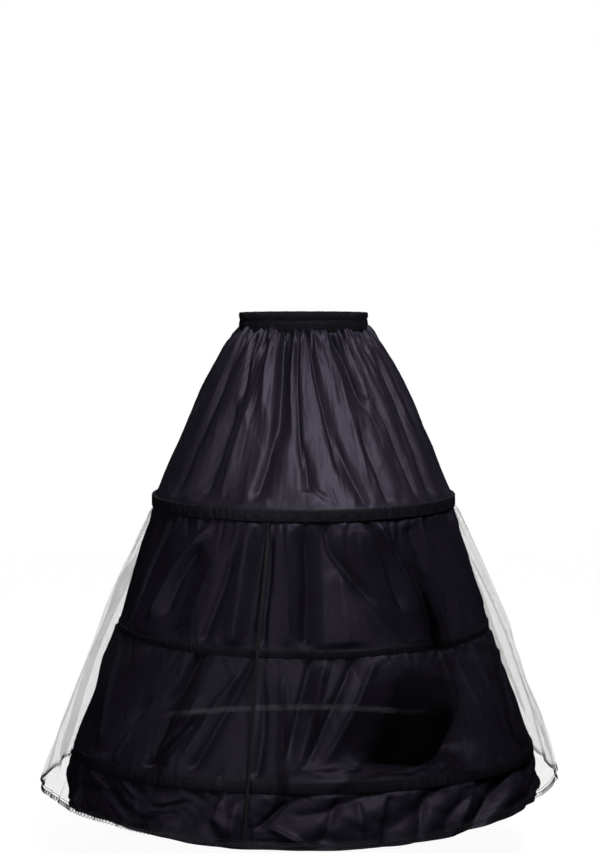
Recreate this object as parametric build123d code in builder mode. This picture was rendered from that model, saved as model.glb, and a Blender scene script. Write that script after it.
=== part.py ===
"""A floor-length hoop petticoat: a taffeta skirt in tiers, held out by three hoops of
coated flat steel, under a gathered overskirt of net with a lace edge.

The frame is the wearer's: the origin is at the middle of the waist opening, +Z is up
along the body, -Y is the front and +X is the wearer's left. Every length is in
millimetres. Each cloth piece is a plain closed shell on the surface that its cloth
follows. Each hoop lies in a stitched tunnel, and a pressed sleeve joins its two ends.
"""

import os
from collections import namedtuple
from math import cos, degrees, pi, radians, sin

from build123d import *

# Waistband: a strip of gathered taffeta folded over one flat elastic.
WAIST_HALF_WIDTH = 112.0  # inside the band, side to side
WAIST_HALF_DEPTH = 86.0  # inside the band, front to back
BAND_HEIGHT = 33.0
BAND_WALL = 1.2
BAND_CLEARANCE = 0.3  # between the band and the elastic, and under the elastic
ELASTIC_WIDTH = 25.0
ELASTIC_THICKNESS = 1.8

# Hoops: flat steel, its ends butted in a pressed sleeve at the back.
STEEL_WIDTH = 8.0
STEEL_THICKNESS = 1.2
STEEL_END_GAP = 2.0
SLEEVE_LENGTH = 40.0
SLEEVE_WALL = 0.5
SLEEVE_CLEARANCE = 0.2  # between the steel and its sleeve
TUNNEL_CLEARANCE = 0.3  # between a tunnel and the sleeve that lies in it
TUNNEL_WALL = 0.8
ENTRY_LENGTH = 30.0  # the slit inside each tunnel, where its steel goes in
BACK = 90.0  # the angle of the sleeves and slits about the body, from +X

# Taffeta.
CLOTH = 1.5
UPPER_FULLNESS = 16.0  # how far the upper tier swells past a straight cone
UPPER_SECTIONS = 7
FLOUNCE_DEPTH = 72.0  # below the bottom tunnel
FLOUNCE_FLARE = 12.0

# Net overskirt, gathered on to the top tunnel under a tape.
NET = 1.0
SEAM_CLEARANCE = 0.3  # between layers that lie over one another
TAPE_THICKNESS = 1.0
NET_HEM_RADIUS = 484.0
NET_HEM_DROP = 863.0  # waist to the net's edge
NET_SAGITTA = 8.0  # how far the net swells past a straight cone
SEAM_WIDTH = 9.0
SEAM_THICKNESS = 1.0
SEAM_ANGLE = 257.5  # just off the centre front
LACE_DEPTH = 13.0
LACE_FLARE = 5.0
LACE_THICKNESS = 1.2

# Each hoop: how far the middle of its tunnel hangs below the waist, the radius of its
# steel, how far its front is turned up, in degrees, and the height of its tunnel.
Hoop = namedtuple("Hoop", "drop radius tilt tunnel_height")
HOOPS = {
    "top": Hoop(drop=343.0, radius=274.0, tilt=0.0, tunnel_height=22.0),
    "middle": Hoop(drop=572.0, radius=340.0, tilt=0.0, tunnel_height=14.0),
    "bottom": Hoop(drop=803.0, radius=424.0, tilt=2.7, tunnel_height=20.0),
}

# Sizes that follow from those above.
BAND_THICKNESS = ELASTIC_THICKNESS + 2 * (BAND_CLEARANCE + BAND_WALL)
BAND_COLLAR = BAND_HEIGHT - BAND_WALL - ELASTIC_WIDTH - 2 * BAND_CLEARANCE
SLEEVE_THICKNESS = STEEL_THICKNESS + 2 * (SLEEVE_CLEARANCE + SLEEVE_WALL)
SLEEVE_WIDTH = STEEL_WIDTH + 2 * (SLEEVE_CLEARANCE + SLEEVE_WALL)
TUNNEL_THICKNESS = SLEEVE_THICKNESS + 2 * (TUNNEL_CLEARANCE + TUNNEL_WALL)
NET_RADIUS = HOOPS["top"].radius + TUNNEL_THICKNESS / 2 + SEAM_CLEARANCE  # inside it
NET_TOP = HOOPS["top"].drop + HOOPS["top"].tunnel_height / 2  # where it leaves the tunnel
TAPE_RADIUS = NET_RADIUS + NET + SEAM_CLEARANCE  # inside it

os.makedirs("parts", exist_ok=True)


def save(piece, label):
    """Labels a finished piece and writes it under that name."""
    piece.part.label = label
    export_step(piece.part, f"parts/{label}.step")


# --- Waist -----------------------------------------------------------------------


def waist_ring(inside, thickness, drop, height):
    """An oval ring round the waist: its inner edge stands off the opening by inside."""
    outside = inside + thickness
    with BuildSketch(Plane.XY.offset(-drop - height)) as section:
        Ellipse(WAIST_HALF_WIDTH + outside, WAIST_HALF_DEPTH + outside)
        Ellipse(WAIST_HALF_WIDTH + inside, WAIST_HALF_DEPTH + inside, mode=Mode.SUBTRACT)
    return section.sketch


# The band is open along its lower edge, where the skirt's collar goes in.
with BuildPart() as waistband:
    extrude(waist_ring(0, BAND_THICKNESS, 0, BAND_HEIGHT), amount=BAND_HEIGHT)
    extrude(
        waist_ring(BAND_WALL, BAND_THICKNESS - 2 * BAND_WALL, BAND_WALL, BAND_HEIGHT),
        amount=BAND_HEIGHT,
        mode=Mode.SUBTRACT,
    )
save(waistband, "waistband")

with BuildPart() as waist_elastic:
    extrude(
        waist_ring(
            BAND_WALL + BAND_CLEARANCE,
            ELASTIC_THICKNESS,
            BAND_WALL + BAND_CLEARANCE,
            ELASTIC_WIDTH,
        ),
        amount=ELASTIC_WIDTH,
    )
save(waist_elastic, "waist_elastic")


# --- Hoops -----------------------------------------------------------------------


def hoop_plane(hoop):
    """The plane through the middle of a hoop's tunnel, its front turned up."""
    return Plane((0, 0, -hoop.drop)).rotated((-hoop.tilt, 0, 0))


def section_plane(hoop, angle):
    """A plane on the hoop's axis: its x runs outwards at angle and its y up the axis."""
    flat = hoop_plane(hoop)
    outwards = flat.x_dir * cos(radians(angle)) + flat.y_dir * sin(radians(angle))
    return Plane(flat.origin, x_dir=outwards, z_dir=outwards.cross(flat.z_dir))


def bend(hoop, thickness, height, middle, gap=0.0, length=0.0, mode=Mode.ADD):
    """Bends a bar of rectangular section round a hoop.

    middle is the bar's place on the section: (out from the steel's line, up from the
    middle of the tunnel). The bar is closed, or is left open by gap at the back, or is
    only length long across the back.
    """
    sweep = degrees(length / hoop.radius) if length else 360 - degrees(gap / hoop.radius)
    start = BACK - sweep / 2 if length else BACK + degrees(gap / hoop.radius) / 2
    with BuildSketch(section_plane(hoop, start)) as section:
        with Locations((hoop.radius + middle[0], middle[1])):
            Rectangle(thickness, height)
    flat = hoop_plane(hoop)
    revolve(section.sketch, axis=Axis(flat.origin, flat.z_dir), revolution_arc=sweep, mode=mode)


def steel_height(hoop):
    """How far above the middle of its tunnel the steel lies, on the tunnel's floor."""
    return TUNNEL_WALL + TUNNEL_CLEARANCE + (SLEEVE_WIDTH - hoop.tunnel_height) / 2


for name, hoop in HOOPS.items():
    steel_place = (0, steel_height(hoop))
    hollow_thickness = TUNNEL_THICKNESS - 2 * TUNNEL_WALL
    hollow_height = hoop.tunnel_height - 2 * TUNNEL_WALL
    inner_wall_place = ((TUNNEL_WALL - TUNNEL_THICKNESS) / 2, 0)

    with BuildPart() as steel:
        bend(hoop, STEEL_THICKNESS, STEEL_WIDTH, steel_place, gap=STEEL_END_GAP)
    save(steel, f"{name}_hoop")

    with BuildPart() as sleeve:
        bend(hoop, SLEEVE_THICKNESS, SLEEVE_WIDTH, steel_place, length=SLEEVE_LENGTH)
        bend(
            hoop,
            STEEL_THICKNESS + 2 * SLEEVE_CLEARANCE,
            STEEL_WIDTH + 2 * SLEEVE_CLEARANCE,
            steel_place,
            mode=Mode.SUBTRACT,
        )
    save(sleeve, f"{name}_hoop_connector")

    with BuildPart() as tunnel:
        bend(hoop, TUNNEL_THICKNESS, hoop.tunnel_height, (0, 0))
        bend(hoop, hollow_thickness, hollow_height, (0, 0), mode=Mode.SUBTRACT)
        bend(
            hoop,
            TUNNEL_WALL,
            hollow_height,
            inner_wall_place,
            length=ENTRY_LENGTH,
            mode=Mode.SUBTRACT,
        )
    save(tunnel, f"{name}_hoop_casing")


# --- Skirt -----------------------------------------------------------------------


def seam_plane(hoop, side):
    """The plane of a tunnel's edge: side is 1 for its upper edge and -1 for its lower."""
    return hoop_plane(hoop).offset(side * hoop.tunnel_height / 2)


def upper_section(share, outside):
    """A level section of the upper tier, share of the way from waist to top hoop.

    outside is how far it stands off the middle of the cloth. The oval of the waist
    turns into the circle of the hoop on the way.
    """
    hoop = HOOPS["top"]
    fullness = UPPER_FULLNESS * sin(pi * share**0.6)
    band_middle = BAND_THICKNESS / 2
    half_width = (WAIST_HALF_WIDTH + band_middle) * (1 - share) + hoop.radius * share
    half_depth = (WAIST_HALF_DEPTH + band_middle) * (1 - share) + hoop.radius * share
    drop = BAND_HEIGHT * (1 - share) + (hoop.drop - hoop.tunnel_height / 2) * share
    with BuildSketch(Plane.XY.offset(-drop)) as section:
        Ellipse(half_width + fullness + outside, half_depth + fullness + outside)
    return section.sketch


shares = [index / (UPPER_SECTIONS - 1) for index in range(UPPER_SECTIONS)]
with BuildPart() as upper_tier:
    loft([upper_section(share, CLOTH / 2) for share in shares])
    loft([upper_section(share, -CLOTH / 2) for share in shares], mode=Mode.SUBTRACT)
    extrude(
        waist_ring((BAND_THICKNESS - CLOTH) / 2, CLOTH, BAND_HEIGHT - BAND_COLLAR, BAND_COLLAR),
        amount=BAND_COLLAR,
    )
save(upper_tier, "upper_tier")


def tier_section(plane, radius):
    """A round section of a tier, on a tunnel's edge."""
    with BuildSketch(plane) as section:
        Circle(radius)
    return section.sketch


for name, above, below in (("middle_tier", "top", "middle"), ("lower_tier", "middle", "bottom")):
    ends = ((seam_plane(HOOPS[above], -1), HOOPS[above].radius),
            (seam_plane(HOOPS[below], 1), HOOPS[below].radius))
    with BuildPart() as tier:
        loft([tier_section(plane, radius + CLOTH / 2) for plane, radius in ends], ruled=True)
        loft(
            [tier_section(plane, radius - CLOTH / 2) for plane, radius in ends],
            ruled=True,
            mode=Mode.SUBTRACT,
        )
    save(tier, name)

with BuildPart() as hem_flounce:
    hoop = HOOPS["bottom"]
    top, hem = -hoop.tunnel_height / 2, -hoop.tunnel_height / 2 - FLOUNCE_DEPTH
    with BuildSketch(section_plane(hoop, 0)) as section:
        with BuildLine():
            Polyline(
                (hoop.radius - CLOTH / 2, top),
                (hoop.radius + CLOTH / 2, top),
                (hoop.radius + FLOUNCE_FLARE + CLOTH / 2, hem),
                (hoop.radius + FLOUNCE_FLARE - CLOTH / 2, hem),
                close=True,
            )
        make_face()
    revolve(axis=Axis(hoop_plane(hoop).origin, hoop_plane(hoop).z_dir))
save(hem_flounce, "hem_flounce")


# --- Net overskirt ---------------------------------------------------------------


def net_strip(inside, thickness):
    """The net's profile below its heading, or that of a strip standing off it by inside."""
    top_near = (NET_RADIUS + inside, -NET_TOP)
    top_far = (NET_RADIUS + inside + thickness, -NET_TOP)
    hem_near = (NET_HEM_RADIUS + inside, -NET_HEM_DROP)
    hem_far = (NET_HEM_RADIUS + inside + thickness, -NET_HEM_DROP)
    with BuildSketch(Plane.XZ) as section:
        with BuildLine():
            SagittaArc(top_far, hem_far, NET_SAGITTA)
            Line(hem_far, hem_near)
            SagittaArc(hem_near, top_near, -NET_SAGITTA)
            Line(top_near, top_far)
        make_face()
    return section.sketch


def heading(radius, thickness):
    """A flat strip round the outside of the top tunnel, as high as the tunnel."""
    with BuildSketch(Plane.XY.offset(-NET_TOP)) as section:
        Circle(radius + thickness)
        Circle(radius, mode=Mode.SUBTRACT)
    extrude(section.sketch, amount=HOOPS["top"].tunnel_height)


with BuildPart() as net_overlay:
    revolve(net_strip(0, NET), axis=Axis.Z)
    heading(NET_RADIUS, NET)
save(net_overlay, "net_overlay")

with BuildPart() as net_heading_tape:
    heading(TAPE_RADIUS, TAPE_THICKNESS)
save(net_heading_tape, "net_heading_tape")

# The binding of the net's seam keeps one width, so it is a slab's share of a full strip.
outwards = Vector(cos(radians(SEAM_ANGLE)), sin(radians(SEAM_ANGLE)), 0)
with BuildPart() as net_seam_binding:
    revolve(net_strip(NET + SEAM_CLEARANCE, SEAM_THICKNESS), axis=Axis.Z)
    with Locations(Plane((0, 0, -NET_TOP), x_dir=outwards, z_dir=(0, 0, -1))):
        Box(
            2 * NET_HEM_RADIUS,
            SEAM_WIDTH,
            NET_HEM_DROP,
            align=(Align.MIN, Align.CENTER, Align.MIN),
            mode=Mode.INTERSECT,
        )
save(net_seam_binding, "net_seam_binding")

with BuildPart() as net_hem_lace:
    near = NET_HEM_RADIUS + (NET - LACE_THICKNESS) / 2
    far = near + LACE_THICKNESS
    lace_drop = NET_HEM_DROP + LACE_DEPTH
    with BuildSketch(Plane.XZ):
        with BuildLine():
            Polyline(
                (near, -NET_HEM_DROP),
                (far, -NET_HEM_DROP),
                (far + LACE_FLARE, -lace_drop),
                (near + LACE_FLARE, -lace_drop),
                close=True,
            )
        make_face()
    revolve(axis=Axis.Z)
save(net_hem_lace, "net_hem_lace")
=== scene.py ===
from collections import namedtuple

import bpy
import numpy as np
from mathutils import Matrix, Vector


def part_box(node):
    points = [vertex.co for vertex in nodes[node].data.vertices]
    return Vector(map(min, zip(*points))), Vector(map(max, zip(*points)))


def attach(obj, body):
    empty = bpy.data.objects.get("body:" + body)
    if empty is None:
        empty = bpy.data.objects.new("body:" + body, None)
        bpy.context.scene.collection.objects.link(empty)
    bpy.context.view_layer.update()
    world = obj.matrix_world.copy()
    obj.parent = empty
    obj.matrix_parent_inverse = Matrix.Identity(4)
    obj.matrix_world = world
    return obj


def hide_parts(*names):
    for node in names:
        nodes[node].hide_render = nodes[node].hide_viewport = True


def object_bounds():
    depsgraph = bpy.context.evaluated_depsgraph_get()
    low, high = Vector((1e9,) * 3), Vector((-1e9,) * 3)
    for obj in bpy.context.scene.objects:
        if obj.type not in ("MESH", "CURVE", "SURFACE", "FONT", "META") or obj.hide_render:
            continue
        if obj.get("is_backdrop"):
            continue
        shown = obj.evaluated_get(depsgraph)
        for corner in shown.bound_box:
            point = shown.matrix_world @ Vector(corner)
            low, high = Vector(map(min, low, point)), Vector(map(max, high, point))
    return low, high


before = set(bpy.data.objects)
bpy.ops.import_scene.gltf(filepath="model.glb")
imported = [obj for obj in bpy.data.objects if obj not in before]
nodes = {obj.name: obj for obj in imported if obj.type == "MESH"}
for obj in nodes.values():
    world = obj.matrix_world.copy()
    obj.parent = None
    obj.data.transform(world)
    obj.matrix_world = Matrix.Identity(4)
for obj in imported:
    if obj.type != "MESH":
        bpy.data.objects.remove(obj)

# The looks of a hooped petticoat: gathered taffeta in tiers over three hoops, under a net
# overskirt with a lace edge. Lengths are in metres. Angles go round the body in degrees
# from the front, towards the wearer's left, and a share runs down a tier from 0 to 1.

cad_low, cad_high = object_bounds()
TURN = 2 * np.pi


# --- Camera ----------------------------------------------------------------------

CAMERA_PLACE = (-0.0064, -4.0356, 0.1138)
CAMERA_PITCH = 4.59  # degrees below level
CAMERA_LENS = 92.77
CAMERA_SENSOR = 36.0

camera_data = bpy.data.cameras.new("camera")
camera_data.lens = CAMERA_LENS
camera_data.sensor_width = CAMERA_SENSOR
camera = bpy.data.objects.new("camera", camera_data)
camera.location = CAMERA_PLACE
camera.rotation_euler = (np.radians(90 - CAMERA_PITCH), 0, 0)
bpy.context.scene.collection.objects.link(camera)
bpy.context.scene.camera = camera


# --- Where things are, from the frame ----------------------------------------------

Hoop = namedtuple("Hoop", "drop radius thickness tilt height")
SLICE = 0.02  # how near a side, the front or the back a point is to be measured there


def node_points(name):
    """A CAD node's vertices, as an array."""
    mesh = nodes[name].data
    points = np.empty(len(mesh.vertices) * 3, np.float32)
    mesh.vertices.foreach_get("co", points)
    return points.reshape(-1, 3).astype(float)


def read_hoop(name):
    """Measures a hoop's tunnel: its middle, outer radius, wall, tilt in radians and height."""
    points = node_points(f"{name}_hoop_casing")
    reach = np.hypot(points[:, 0], points[:, 1])
    radius = np.abs(points[:, 0]).max()
    thickness = radius - reach[np.abs(points[:, 1]) < SLICE].min()
    front = points[points[:, 1] < points[:, 1].min() + SLICE][:, 2]
    back = points[points[:, 1] > points[:, 1].max() - SLICE][:, 2]
    front_middle = (front.max() + front.min()) / 2
    back_middle = (back.max() + back.min()) / 2
    tilt = np.arctan2(front_middle - back_middle, 2 * radius)
    height = front.max() - front.min()
    return Hoop((front_middle + back_middle) / 2, radius, thickness, tilt, height)


HOOPS = {name: read_hoop(name) for name in ("top", "middle", "bottom")}

band_low, band_high = (np.array(corner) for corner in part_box("waistband"))
net_low, net_high = (np.array(corner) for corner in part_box("net_overlay"))
flounce_points = node_points("hem_flounce")
BAND_HEIGHT = band_high[2] - band_low[2]
BAND_THICKNESS = band_high[0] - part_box("waist_elastic")[1].x
FLOUNCE_RADIUS = np.hypot(*flounce_points[:, :2].T).max()
FLOUNCE_LENGTH = HOOPS["bottom"].drop - HOOPS["bottom"].height / 2 - (
    flounce_points[:, 2].min() + FLOUNCE_RADIUS * np.sin(HOOPS["bottom"].tilt)
)


# --- Meshes ----------------------------------------------------------------------


def make_piece(name, points, faces, materials, uv=None, face_materials=None):
    """Makes a mesh object from arrays, and lets it ride on the petticoat's one body."""
    mesh = bpy.data.meshes.new(name)
    mesh.vertices.add(len(points))
    mesh.vertices.foreach_set("co", np.ascontiguousarray(points, np.float32).ravel())
    sides = faces.shape[1]
    mesh.loops.add(faces.size)
    mesh.loops.foreach_set("vertex_index", np.ascontiguousarray(faces, np.int32).ravel())
    mesh.polygons.add(len(faces))
    mesh.polygons.foreach_set("loop_start", np.arange(0, faces.size, sides, dtype=np.int32))
    mesh.polygons.foreach_set("use_smooth", np.ones(len(faces), bool))
    if face_materials is not None:
        mesh.polygons.foreach_set("material_index", np.ascontiguousarray(face_materials, np.int32))
    if uv is not None:
        layer = mesh.uv_layers.new(name="flat")
        layer.data.foreach_set("uv", np.ascontiguousarray(uv, np.float32).ravel())
    mesh.update()
    mesh.validate()
    for material in materials:
        mesh.materials.append(material)
    piece = bpy.data.objects.new(name, mesh)
    bpy.context.scene.collection.objects.link(piece)
    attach(piece, "root")
    return piece


def grid_faces(rows, columns, closed_rows=False, closed_columns=True):
    """Quads of a grid of points, whose last row or column joins the first if it is closed."""
    row = np.arange(rows if closed_rows else rows - 1)[:, None]
    column = np.arange(columns if closed_columns else columns - 1)[None, :]
    below = (row + 1) % rows
    beside = (column + 1) % columns
    corners = (row * columns + column, below * columns + column,
               below * columns + beside, row * columns + beside)
    return np.stack(np.broadcast_arrays(*corners), -1).reshape(-1, 4)


def grid_uv(points, closed_rows=False):
    """A UV corner list in metres of cloth: u round the hem, v down the cloth."""
    rows, columns = points.shape[:2]
    around = np.linalg.norm(np.roll(points, -1, 1) - points, axis=2).mean(0)
    u = np.concatenate(([0.0], np.cumsum(around)))
    down = np.linalg.norm(np.roll(points, -1, 0) - points, axis=2).mean(1)
    v = np.concatenate(([0.0], np.cumsum(down)))
    quad_rows = rows if closed_rows else rows - 1
    row = np.arange(quad_rows)[:, None]
    column = np.arange(columns)[None, :]
    corners = [(u[column], v[row]), (u[column], v[row + 1]),
               (u[column + 1], v[row + 1]), (u[column + 1], v[row])]
    stacked = [np.stack(np.broadcast_arrays(*corner), -1) for corner in corners]
    return np.stack(stacked, 2).reshape(-1, 2)


def make_sheet(name, points, materials, closed_rows=False, face_materials=None):
    """Makes a cloth piece from its grid of points."""
    rows, columns = points.shape[:2]
    faces = grid_faces(rows, columns, closed_rows)
    uv = grid_uv(points, closed_rows)
    return make_piece(name, points.reshape(-1, 3), faces, materials, uv, face_materials)


# --- Folds -----------------------------------------------------------------------


def smooth_step(value, low, high):
    """0 below low, 1 above high, and an S between them."""
    share = np.clip((value - low) / (high - low), 0, 1)
    return share * share * (3 - 2 * share)


def unit(vectors):
    """The same directions, each of length 1."""
    return vectors / np.linalg.norm(vectors, axis=-1, keepdims=True)


def smoothed(values):
    """Rounds off the corners in a run of values, and keeps its ends in place."""
    window = np.hanning(max(5, len(values) // 4 * 2 + 1))
    window /= window.sum()
    half = len(window) // 2
    if len(values) <= half:
        return values
    padded = np.pad(values, half, mode="reflect", reflect_type="odd")
    return np.convolve(padded, window, "valid")


class Cloth:
    """A sheet round the body: a plain surface, and how far its folds push it about."""

    def __init__(self, columns, rows, surface, spread=None):
        self.angles = np.arange(columns) * 360 / columns
        self.shares = np.linspace(0, 1, rows) if spread is None else spread
        self.base = surface(self.angles[None, :], self.shares[:, None])
        along = np.roll(self.base, -1, 1) - np.roll(self.base, 1, 1)
        down = np.gradient(self.base, axis=0)
        self.along = unit(along)
        self.down = unit(down)
        self.out = unit(np.cross(down, along))
        self.radius = np.hypot(self.base[..., 0], self.base[..., 1]).mean(1)
        self.height = np.zeros((rows, columns))
        self.slide = np.zeros((rows, columns))
        self.sink = np.zeros((rows, columns))

    def points(self):
        """The folded cloth, as a grid of points."""
        points = self.base + self.out * self.height[..., None] + self.down * self.sink[..., None]
        # Sliding sideways goes round the body, so a wide overlap stays close to it.
        turn = self.slide / self.radius[:, None]
        x = points[..., 0] * np.cos(turn) - points[..., 1] * np.sin(turn)
        y = points[..., 0] * np.sin(turn) + points[..., 1] * np.cos(turn)
        return np.stack((x, y, points[..., 2]), -1)

    def by_angle(self, steps):
        """A row of values for the columns, between steps of (angle, value)."""
        around = (self.angles + 180) % 360 - 180
        return np.interp(around, *zip(*steps), period=360)[None, :]

    def distance(self, centre, rows):
        """How far each column is from a line down the cloth, in metres round the body."""
        turn = (self.angles[None, :] - centre[:, None] + 180) % 360 - 180
        return np.radians(turn) * self.radius[rows][:, None]

    def fold(self, path, width, depth, skew=0.0, fade=(0.15, 0.15), sharp=0.5, lean=0.0):
        """Adds one fold along path, a list of (angle, share), smoothed to a curve.

        width is (at its start, at its end), depth is how far it stands out, skew makes
        one side steeper, fade is the shares of its length over which it begins and ends,
        sharp runs from 0 for a round fold to 1 for a crease, and lean pulls it sideways.
        """
        angles, shares = np.array(path, float).T
        rows = slice(*np.searchsorted(self.shares, (shares[0] - 1e-9, shares[-1] + 1e-9)))
        share = self.shares[rows]
        if len(share) < 2:
            return
        centre = np.interp(share, shares, angles)
        if len(path) > 2:
            centre = smoothed(centre)
        reach = (share - shares[0]) / (shares[-1] - shares[0])
        strength = np.ones(len(share))
        if fade[0] > 0:
            strength *= smooth_step(reach, 0, fade[0])
        if fade[1] > 0:
            strength *= 1 - smooth_step(reach, 1 - fade[1], 1)
        half_width = width[0] + (width[1] - width[0]) * reach
        distance = self.distance(centre, rows) / half_width[:, None]
        distance = np.where(distance < 0, distance / (1 - skew), distance / (1 + skew))
        round_shape = np.exp(-distance * distance)
        sharp_shape = np.exp(-np.abs(distance) * 1.6)
        shape = round_shape * (1 - sharp) + sharp_shape * sharp
        push = depth * strength[:, None] * shape
        self.height[rows] += push
        if lean:
            self.slide[rows] += push * lean

    def add_folds(self, folds):
        """Adds each fold of a list whose widths and depths are in millimetres."""
        for path, width, depth, *rest in folds:
            self.fold(path, (width[0] / 1000, width[1] / 1000), depth / 1000, *rest)

    def pleat(self, path, cover, side, fade=(0.15, 0.15)):
        """Turns the cloth over on itself, three layers thick across cover metres.

        side is 1 to fold it over towards larger angles, or -1 towards smaller ones. The
        three layers start half of cover away from path.
        """
        width = (cover[0] / 4, cover[1] / 4)
        depth = 0.003 + 0.06 * max(cover)
        lean = side * 1.5 * max(cover) / depth
        self.fold(path, width, depth, 0.0, fade, 0.0, lean)

    def wrinkle(self, start, end, width, depth):
        """Adds a short crease between two places, each an angle and a share."""
        metres = np.radians(1) * self.radius[:, None]
        length = np.linalg.norm(self.base[-1, 0] - self.base[0, 0])
        ahead = np.array([(end[0] - start[0]), (end[1] - start[1])])
        x = ((self.angles[None, :] - start[0] + 180) % 360 - 180) * metres
        y = (self.shares[:, None] - start[1]) * length
        along = np.stack(np.broadcast_arrays(ahead[0] * metres, ahead[1] * length), -1)
        size = np.linalg.norm(along, axis=-1)
        reach = np.clip((x * along[..., 0] + y * along[..., 1]) / size**2, 0, 1)
        off = np.hypot(x - reach * along[..., 0], y - reach * along[..., 1])
        self.height += depth * np.exp(-((off / width) ** 2)) * np.sin(np.pi * (0.1 + 0.8 * reach))

    def creases(self, count, seed, reach, width, depth, steep=0.6, between=(0.0, 1.0)):
        """Adds short creases, mostly lengthwise: steep is how far they lean, from 0 to 1."""
        random = np.random.default_rng(seed)
        length = np.linalg.norm(self.base[-1, 0] - self.base[0, 0])
        for _ in range(count):
            share = random.uniform(*between)
            angle = random.uniform(0, 360)
            lean = random.uniform(-1, 1) * steep * np.pi / 2
            half = random.uniform(*reach) / 2
            radius = np.interp(share, self.shares, self.radius)
            turn = np.degrees(half * np.sin(lean) / radius)
            rise = half * np.cos(lean) / length
            tall = random.uniform(*depth) * random.choice((-1, 1))
            size = random.uniform(*width)
            path = [(angle - turn, share - rise), (angle + turn, share + rise)]
            if abs(turn) > 8 or rise * length < 0.004:
                self.wrinkle(*path, size, tall)
            else:
                path = [(place, np.clip(down, 0, 1)) for place, down in path]
                self.fold(path, (size, size), tall, random.uniform(-0.5, 0.5), (0.45, 0.45))

    def gathers(self, count, seed, length, width, depth, drift, upwards=False, window=None):
        """Adds many small folds that run down from the top edge, or up from the lower one.

        length, width and depth are ranges, drift is how far round the ends stray, in
        degrees, and window gives each place its share of the depth.
        """
        random = np.random.default_rng(seed)
        places = (np.arange(count) + random.uniform(-0.45, 0.45, count)) * 360 / count
        for place in places:
            run = length[0] + (length[1] - length[0]) * random.random() ** 2
            size = width[0] + (width[1] - width[0]) * random.random()
            tall = random.uniform(*depth) * random.choice((-1, 1))
            turn = random.normal(0, drift)
            skew = random.uniform(-0.5, 0.5)
            if window is not None:
                tall *= window(place)
            if abs(tall) < 1e-5:
                continue
            grow = 1 + 1.6 * run
            if upwards:
                path = [(place + turn, 1 - run), (place, 1.0)]
                self.fold(path, (size * grow, size), tall, skew, (0.7, 0.0))
            else:
                path = [(place, 0.0), (place + turn, run)]
                self.fold(path, (size, size * grow), tall, skew, (0.0, 0.7))

    def noise(self, across, down, seed, shear=0.0):
        """Smooth noise from -1 to 1, with this many cells round the body and down it.

        shear is how many cells it slants sideways for each cell down.
        """
        random = np.random.default_rng(seed)
        slopes = random.normal(size=(down + 2, across, 2))
        slopes /= np.linalg.norm(slopes, axis=2, keepdims=True)
        v = (self.shares * down)[:, None]
        u = (self.angles / 360 * across)[None, :] + shear * v
        column, row = np.floor(u).astype(int), np.floor(v).astype(int)
        du, dv = u - column, v - row
        ease_u = du**3 * (du * (6 * du - 15) + 10)
        ease_v = dv**3 * (dv * (6 * dv - 15) + 10)

        def corner(right, below):
            slope = slopes[row + below, (column + right) % across]
            return slope[..., 0] * (du - right) + slope[..., 1] * (dv - below)

        top = corner(0, 0) * (1 - ease_u) + corner(1, 0) * ease_u
        bottom = corner(0, 1) * (1 - ease_u) + corner(1, 1) * ease_u
        return (top * (1 - ease_v) + bottom * ease_v) * 1.5

    def crumple(self, across, down, seed, depth, shear=0.0):
        """Adds sharp creases, as in a crisp cloth: folded noise of two sizes."""
        rough = 1 - 2 * np.abs(self.noise(across, down, seed, shear))
        fine = 1 - 2 * np.abs(self.noise(across * 2 + 1, down * 2 + 1, seed + 1, shear))
        self.height += depth * (rough**3 * 0.7 + fine**3 * 0.3)

    def facets(self, across, down, seed, depth, shear=0.0):
        """Adds flat planes with sharp creases between them, as crisp cloth hangs."""
        broad = np.abs(self.noise(across, down, seed, shear)) - 0.3
        small = np.abs(self.noise(across * 2 + 3, down * 2, seed + 1, -shear)) - 0.3
        self.height += depth * broad + 0.25 * depth * small

    def edges(self, top, bottom, keep=0.0):
        """Holds the cloth to its seams: over these shares folds fade out, but for keep."""
        hold = np.ones_like(self.shares)
        if top:
            hold *= smooth_step(self.shares, 0, top)
        if bottom:
            hold *= 1 - smooth_step(self.shares, 1 - bottom, 1)
        hold = keep + (1 - keep) * hold
        self.height *= hold[:, None]
        self.slide *= hold[:, None]
        self.sink *= hold[:, None]


# --- Plain surfaces that the cloth folds about ---------------------------------------


def oval(angle, half_width, half_depth, height):
    """Points of a level oval round the body."""
    turn = np.radians(angle)
    x = half_width * np.sin(turn)
    y = -half_depth * np.cos(turn)
    return np.stack(np.broadcast_arrays(x, y, height), -1)


def round_hoop(hoop, angle, radius, up):
    """Points on a circle in a hoop's plane, up from the middle of its tunnel."""
    turn = np.radians(angle)
    tilt = hoop.tilt
    forward = radius * np.cos(turn)
    x = radius * np.sin(turn)
    y = -forward * np.cos(tilt) + up * np.sin(tilt)
    z = hoop.drop + forward * np.sin(tilt) + up * np.cos(tilt)
    return np.stack(np.broadcast_arrays(x, y, z), -1)


TIER_TUCK = 0.0022  # how far a tier's edges reach into the tunnels
UPPER_TUCK = 0.004  # how far the upper tier reaches up into the band
UPPER_INSET = 0.0016  # how far inside the band's outer face it starts
UPPER_FULLNESS = 0.012


def upper_surface(angle, share):
    """From the oval waist to the round top hoop, swelling past a straight cone."""
    hoop = HOOPS["top"]
    fullness = UPPER_FULLNESS * np.sin(np.pi * share**0.6)
    radius = hoop.radius - hoop.thickness / 2
    half_width = (band_high[0] - UPPER_INSET) * (1 - share) + radius * share + fullness
    half_depth = (band_high[1] - UPPER_INSET) * (1 - share) + radius * share + fullness
    top = band_low[2] + UPPER_TUCK
    height = top * (1 - share) + (hoop.drop + hoop.height / 2 - TIER_TUCK) * share
    return oval(angle, half_width, half_depth, height)


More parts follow.
